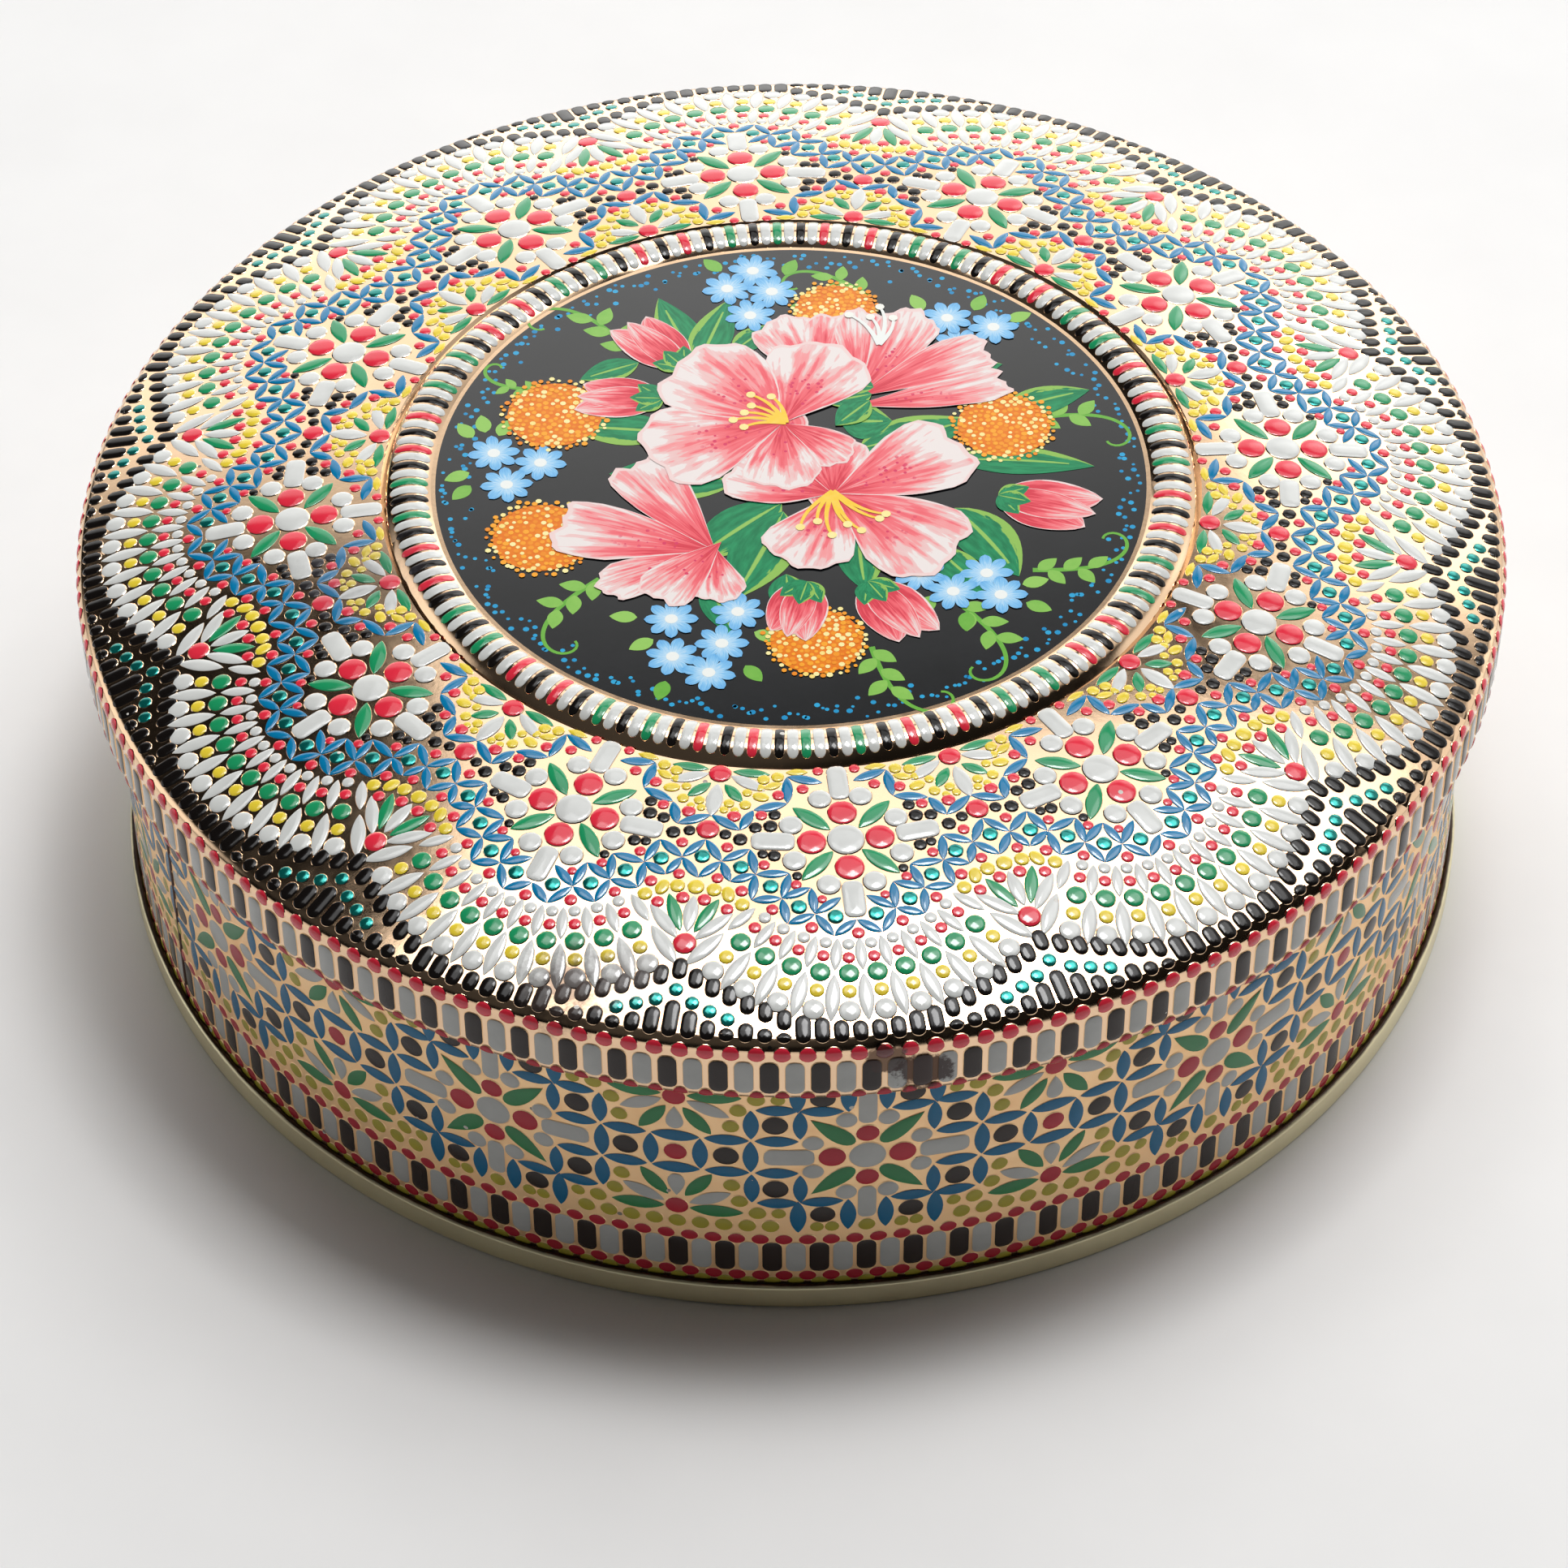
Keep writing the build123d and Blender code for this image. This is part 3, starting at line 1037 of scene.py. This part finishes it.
def bouquet():
    chance = random.Random(11)
    petals = Ink("printed_petals", petal_ink())
    leaves = Ink("printed_leaves", leaf_ink())
    stems = Ink("printed_sprigs", flat_ink("sprig_green", (0.13, 0.42, 0.05), (0.30, 0.58, 0.12)))
    blues = Ink("printed_daisies", daisy_ink())
    whites = Ink("printed_hearts", flat_ink("heart_white", (0.85, 0.88, 0.86), (0.9, 0.9, 0.82)))
    oranges = Ink("printed_florets", flat_ink("floret_orange", (0.78, 0.15, 0.008), (0.95, 0.40, 0.03)))
    yellows = Ink("printed_pollen", flat_ink("pollen_yellow", (0.95, 0.60, 0.03), (0.95, 0.86, 0.40)))
    dots = Ink("printed_dots", flat_ink("dot_blue", (0.01, 0.24, 0.52), (0.03, 0.38, 0.68)))
    for k, (x, y, bearing, long, wide) in enumerate(LEAVES):
        blade(leaves, x, y, bearing, long, wide, LEAF_LEVEL + 0.002 * k,
              own=chance.random(), bend=chance.uniform(-7, 7))
    for placing in SPRIGS:
        sprig(stems, *placing)
    for k, (x, y, bearing) in enumerate(SMALL_LEAVES):
        blade(stems, x, y, bearing, 4.2, 1.25, SMALL_LEAF_LEVEL + 0.0007 * k,
              own=chance.random(), blunt=0.8, rows=8, columns=4)
    for k, (x, y) in enumerate(DAISIES):
        daisy(blues, whites, x, y, 4.1, DAISY_LEVEL + 0.0131 * (k % 6), chance)
    for x, y, size in POMPOMS:
        pompom(oranges, yellows, x, y, size, chance)
    for k, (x, y, bearing, long, wide) in enumerate(BUDS):
        level = BUD_LEVEL + 0.004 * k
        blade(petals, x, y, bearing - 9, long * 0.93, wide * 0.7, level, own=-1.6, bend=-4, blunt=0.7)
        blade(petals, x, y, bearing + 9, long, wide * 0.7, level + 0.0015, own=-1.0, bend=4, blunt=0.7)
        blade(petals, x, y, bearing, long * 0.96, wide * 0.52, level + 0.003, own=-0.5, blunt=0.7)
        for order, lean in enumerate((-38, 38, 0)):
            blade(leaves, x, y, bearing + lean, 5.2, 1.7, level + 0.0045 + 0.0012 * order, own=0.4)
    for flower in (LEFT_FLOWER, RIGHT_FLOWER):
        petals.dot(*flower[0][:2], 4.0, THROAT_LEVEL, own=0.5, count=24)
    level = PETAL_LEVEL
    for flower in (BACK_PETALS, SIDE_FLOWER, TRUMPET, RIGHT_FLOWER, LEFT_FLOWER):
        for x, y, bearing, long, half_angle in flower:
            petal(petals, x, y, bearing, long, half_angle, level, chance)
            level += 0.006
    for k, (x, y, bearing, long, wide) in enumerate(CALYX):
        blade(leaves, x, y, bearing, long, wide, CALYX_LEVEL + 0.001 * k, own=0.3)
    stamens(yellows, 0.5, 12, 130, 6, 8.5, chance)
    stamens(yellows, 6, -4.5, 265, 7, 9.5, chance)
    stamens(whites, 17, 29, 78, 4, 8.5, chance)
    count = 340
    for k in range(count):
        reach = chance.triangular(48.8, 54.0, 53.2)
        turn = 360 * (k + chance.uniform(-0.7, 0.7)) / count
        dots.dot(*ahead(0, 0, reach, turn), chance.uniform(0.26, 0.5), DOT_LEVEL, own=chance.random())
    for ink in (petals, leaves, stems, blues, whites, oranges, yellows, dots):
        ink.finish()


def panel_disc():
    """The black ground of the picture, just inside the gold line at the foot of the ring."""
    disc = Ink("panel_print", panel_ink())
    edge = PANEL_RADIUS - 0.7

    def shape(along, across):
        return ahead(0, 0, edge * along, 180 * across)

    disc.grid(12, 192, shape, GROUND_LEVEL)
    disc.finish()


def marks(tree):
    """The three numbers of the attribute "print": along, across and the shape's own."""
    source = tree.nodes.new("ShaderNodeAttribute")
    source.attribute_name = "print"
    split = tree.nodes.new("ShaderNodeSeparateXYZ")
    tree.links.new(source.outputs["Vector"], split.inputs[0])
    return source.outputs["Vector"], split.outputs


def stretched_noise(tree, vector, stretch, scale, detail=3.0):
    mapping = tree.nodes.new("ShaderNodeMapping")
    mapping.inputs["Scale"].default_value = stretch
    tree.links.new(vector, mapping.inputs["Vector"])
    n = tree.nodes.new("ShaderNodeTexNoise")
    set_inputs(n, {"Scale": scale, "Detail": detail})
    tree.links.new(mapping.outputs[0], n.inputs["Vector"])
    return n.outputs["Fac"]


def varnish(tree, shader):
    """The clear varnish over the print, with its faint orange peel."""
    shader.inputs["Specular IOR Level"].default_value = 0.5
    set_roughness(tree, shader, noise(tree, 900, 3), ((0.3, 0.05), (0.7, 0.08)))
    bump(tree, shader, noise(tree, 700, 2), 0.05, 0.00003)


def flat_ink(name, dark, light):
    m, tree, shader = material(name)
    _, parts = marks(tree)
    mixed = add_part(tree, parts[2], noise(tree, 600, 3), 0.5)
    set_colour(tree, shader, ramp(tree, mixed, ((0.15, dark), (1.0, light))))
    varnish(tree, shader)
    return m


def panel_ink():
    m, tree, shader = material("panel_black")
    black = ramp(tree, noise(tree, 140, 4), ((0.3, (0.004, 0.005, 0.006)), (0.7, (0.007, 0.008, 0.010))))
    set_colour(tree, shader, black)
    varnish(tree, shader)
    set_inputs(shader, {"Coat Weight": 0.8, "Coat Roughness": 0.05})
    return m


def petal_ink():
    """Pink that pales towards the petal's edge, in brush strokes along it, with speckles in its throat."""
    m, tree, shader = material("petal_pink")
    vector, (along, across, own) = marks(tree)
    side = maths(tree, "ABSOLUTE", across)
    strokes = stretched_noise(tree, vector, (1.6, 5.5, 9.0), 1.6, 4)
    patches = stretched_noise(tree, vector, (1.8, 1.6, 7.0), 1.5, 2)
    tone = add_part(tree, maths(tree, "MULTIPLY", along, 0.42), strokes, 0.55)
    tone = add_part(tree, tone, patches, 0.50)
    tone = add_part(tree, tone, own, 0.06)
    colour = ramp(tree, tone, (
        (0.60, (0.68, 0.05, 0.08)),
        (0.68, (0.85, 0.12, 0.15)),
        (0.785, (0.88, 0.19, 0.22)),
        (0.805, (0.89, 0.32, 0.33)),
        (0.865, (0.89, 0.36, 0.37)),
        (0.880, (0.83, 0.53, 0.52)),
        (0.935, (0.84, 0.57, 0.56)),
        (0.950, (0.84, 0.77, 0.75)),
    ))
    edge = maths(tree, "MAXIMUM", maths(tree, "POWER", side, 3.0), maths(tree, "POWER", along, 5.0))
    edge = maths(tree, "ADD", edge, centred(tree, strokes, 0.9))
    colour = blend_colours(tree, ramp(tree, edge, ((0.88, 0.0), (0.92, 1.0))), colour, (0.84, 0.75, 0.73))
    line = ramp(tree, maths(tree, "MAXIMUM", side, along), ((0.962, 0.0), (0.97, 1.0)))
    colour = blend_colours(tree, line, colour, (0.86, 0.66, 0.64))
    near = ramp(tree, cells_of(tree, 900).outputs["Distance"], ((0.26, 1.0), (0.30, 0.0)))
    throat = ramp(tree, along, ((0.15, 0.0), (0.22, 1.0), (0.55, 1.0), (0.66, 0.0)))
    middle = ramp(tree, side, ((0.35, 1.0), (0.55, 0.0)))
    speckled = maths(tree, "MULTIPLY", maths(tree, "MULTIPLY", near, throat), middle)
    speckled = maths(tree, "MULTIPLY", speckled, maths(tree, "GREATER_THAN", own, 0.45))
    colour = blend_colours(tree, speckled, colour, (0.70, 0.05, 0.13))
    set_colour(tree, shader, colour)
    varnish(tree, shader)
    return m


def leaf_ink():
    """Deep green with a paler margin along one side, a pale midrib and faint side veins."""
    m, tree, shader = material("leaf_green")
    vector, (along, across, _) = marks(tree)
    strokes = stretched_noise(tree, vector, (3.0, 2.5, 8.0), 2.0, 3)
    colour = ramp(tree, strokes, ((0.35, (0.008, 0.19, 0.075)), (0.65, (0.02, 0.30, 0.12))))
    margin = maths(tree, "ADD", across, centred(tree, strokes, 0.8))
    colour = blend_colours(tree, ramp(tree, margin, ((0.66, 0.0), (0.70, 1.0))), colour, (0.28, 0.52, 0.10))
    rib = ramp(tree, maths(tree, "ABSOLUTE", across), ((0.06, 1.0), (0.09, 0.0)))
    rib = maths(tree, "MULTIPLY", rib, maths(tree, "LESS_THAN", along, 0.82))
    colour = blend_colours(tree, rib, colour, (0.30, 0.55, 0.12))
    set_colour(tree, shader, colour)
    varnish(tree, shader)
    return m


def daisy_ink():
    m, tree, shader = material("daisy_blue")
    vector, (along, _, _) = marks(tree)
    strokes = stretched_noise(tree, vector, (2.0, 4.0, 8.0), 1.5, 3)
    tone = add_part(tree, maths(tree, "MULTIPLY", along, 0.5), strokes, 0.6)
    colour = ramp(tree, tone, (
        (0.35, (0.62, 0.80, 0.92)),
        (0.60, (0.25, 0.56, 0.86)),
        (0.90, (0.10, 0.38, 0.76)),
    ))
    set_colour(tree, shader, colour)
    varnish(tree, shader)
    return m


# ================================ light, floor and camera ================================
def floor():
    size = 3.0
    corners = [(-size, -size, 0), (size, -size, 0), (size, size, 0), (-size, size, 0)]
    piece = new_mesh("floor", corners, [(0, 1, 2, 3)])
    m, tree, shader = material("floor")
    pale = ramp(tree, noise(tree, 30, 3), ((0.3, (0.89, 0.885, 0.88)), (0.7, (0.92, 0.915, 0.91))))
    set_colour(tree, shader, pale)
    shader.inputs["Roughness"].default_value = 0.7
    piece.data.materials.append(m)


TIN_MIDDLE = Vector((0, 0, 0.06))
# azimuth, elevation, full within, none beyond, in degrees, and the radiance
GLOWS = (
    (0, 90, 0, 181, 0.01),
    (3, 10, 27, 37, 1.40),
    (45, 12, 14, 30, 0.95),
    (0, 4, 10, 22, 0.80),
    (30, 34, 6, 14, 1.80),
    (70, 50, 8, 22, 0.75),
    (-125, 50, 15, 45, 0.04),
    (-68, 12, 10, 24, 1.20),
    (82, 12, 10, 24, 1.00),
)
# azimuth, elevation, distance and size in metres, radiance
SOFTBOXES = (
    (24, 69, 1.5, (1.18, 0.92), 1.55),
    (45, 80, 1.5, (0.38, 0.38), 17.5),
    (60, 66, 1.5, (0.60, 0.60), 2.3),
    (-40, 76, 1.5, (0.50, 0.50), 2.8),
)


def glow(tree, direction, inner, outer, strength):
    """A soft patch of light in the studio's surroundings: full within inner degrees of its direction."""
    place = tree.nodes.new("ShaderNodeTexCoord")
    dot = tree.nodes.new("ShaderNodeVectorMath")
    dot.operation = "DOT_PRODUCT"
    dot.inputs[1].default_value = Vector(direction).normalized()
    tree.links.new(place.outputs["Generated"], dot.inputs[0])
    patch = tree.nodes.new("ShaderNodeMapRange")
    patch.interpolation_type = "SMOOTHSTEP"
    set_inputs(patch, {"From Min": math.cos(math.radians(outer)), "From Max": math.cos(math.radians(inner)),
                       "To Max": strength})
    tree.links.new(dot.outputs["Value"], patch.inputs["Value"])
    return patch.outputs["Result"]


def toward(azimuth, elevation):
    """Unit vector at an azimuth clockwise from +Y, seen from above, and an elevation."""
    a, e = math.radians(azimuth), math.radians(elevation)
    return Vector((math.sin(a) * math.cos(e), math.cos(a) * math.cos(e), math.sin(e)))


def world():
    w = bpy.data.worlds.new("studio")
    w.use_nodes = True
    tree = w.node_tree
    total = None
    for azimuth, elevation, inner, outer, strength in GLOWS:
        patch = glow(tree, toward(azimuth, elevation), inner, outer, strength)
        total = patch if total is None else maths(tree, "ADD", total, patch)
    back = tree.nodes["Background"]
    back.inputs["Color"].default_value = (1.0, 0.99, 0.97, 1)
    tree.links.new(total, back.inputs["Strength"])
    bpy.context.scene.world = w


def softbox(azimuth, elevation, distance, size, radiance):
    """A rectangular lamp that looks at the tin."""
    data = bpy.data.lights.new("softbox", "AREA")
    data.shape = "RECTANGLE"
    data.size, data.size_y = size
    data.energy = radiance * math.pi * size[0] * size[1]
    lamp = bpy.data.objects.new("softbox", data)
    lamp.location = toward(azimuth, elevation) * distance
    lamp.rotation_euler = (TIN_MIDDLE - lamp.location).to_track_quat("-Z", "Y").to_euler()
    bpy.context.scene.collection.objects.link(lamp)


CAMERA_AZIMUTH = -5.6              # degrees
CAMERA_ELEVATION = 45.31
CAMERA_ROLL = -0.36
CAMERA_DISTANCE = 820.43           # mm
CAMERA_LENS = 114.98
LOOK_AT = Vector((-1.34, 3.08, -1.2))


def camera():
    data = bpy.data.cameras.new("camera")
    data.lens = CAMERA_LENS
    data.sensor_width = 36
    elevation = math.radians(CAMERA_ELEVATION)
    roll = math.radians(CAMERA_ROLL)
    forward = Vector((0, math.cos(elevation), -math.sin(elevation)))
    right = Vector((1, 0, 0))
    up = right.cross(forward)
    x_axis = math.cos(roll) * right + math.sin(roll) * up
    y_axis = math.cos(roll) * up - math.sin(roll) * right
    place = LOOK_AT - forward * CAMERA_DISTANCE
    pose = Matrix((x_axis, y_axis, -forward)).transposed().to_4x4()
    pose.translation = place * MM
    lens = bpy.data.objects.new("camera", data)
    lens.matrix_world = Matrix.Rotation(math.radians(CAMERA_AZIMUTH), 4, "Z") @ pose
    bpy.context.scene.collection.objects.link(lens)
    bpy.context.scene.camera = lens


# ================================ build ================================
lid_gold = gold_lacquer("lid_gold", (0.90, 0.63, 0.41), 0.12, LID_SCUFFS)
# the gold of the wall and the skirt: the lid's lacquer, rougher, and made lighter in colour as painted
# light
wall_gold_with_painted_light = gold_lacquer("wall_gold_with_painted_light", (1.0, 0.67, 0.38), 0.50, SKIRT_SCUFFS)
base_gold = seam_lacquer("base_gold", (0.98, 0.88, 0.58))
seam_dark = gold_lacquer("seam_dark", (0.10, 0.06, 0.05), 0.5, ())
lid_enamels = enamels_for("lid", LID_ENAMELS, LID_SCUFFS)
# the wall's and skirt's inks carry painted shade: they are darker copies of the lid's
shaded_wall_enamels = enamels_for("wall", SHADED_WALL_ENAMELS, SKIRT_SCUFFS)
lid_mosaic(lid_gold, lid_enamels)
ring_bars(lid_gold, lid_enamels)
skirt_band(wall_gold_with_painted_light, shaded_wall_enamels)
wall_mosaic(wall_gold_with_painted_light, shaded_wall_enamels)
seam_roll(base_gold)
side_seam(seam_dark)
panel_disc()
bouquet()
for name, look in (("lid", lid_gold), ("wall", wall_gold_with_painted_light), ("base", base_gold)):
    node = frame["nodes"][name]
    node.data.materials.clear()
    node.data.materials.append(look)

floor()
world()
for lamp_settings in SOFTBOXES:
    softbox(*lamp_settings)
bpy.context.scene.view_settings.view_transform = "Standard"
camera()
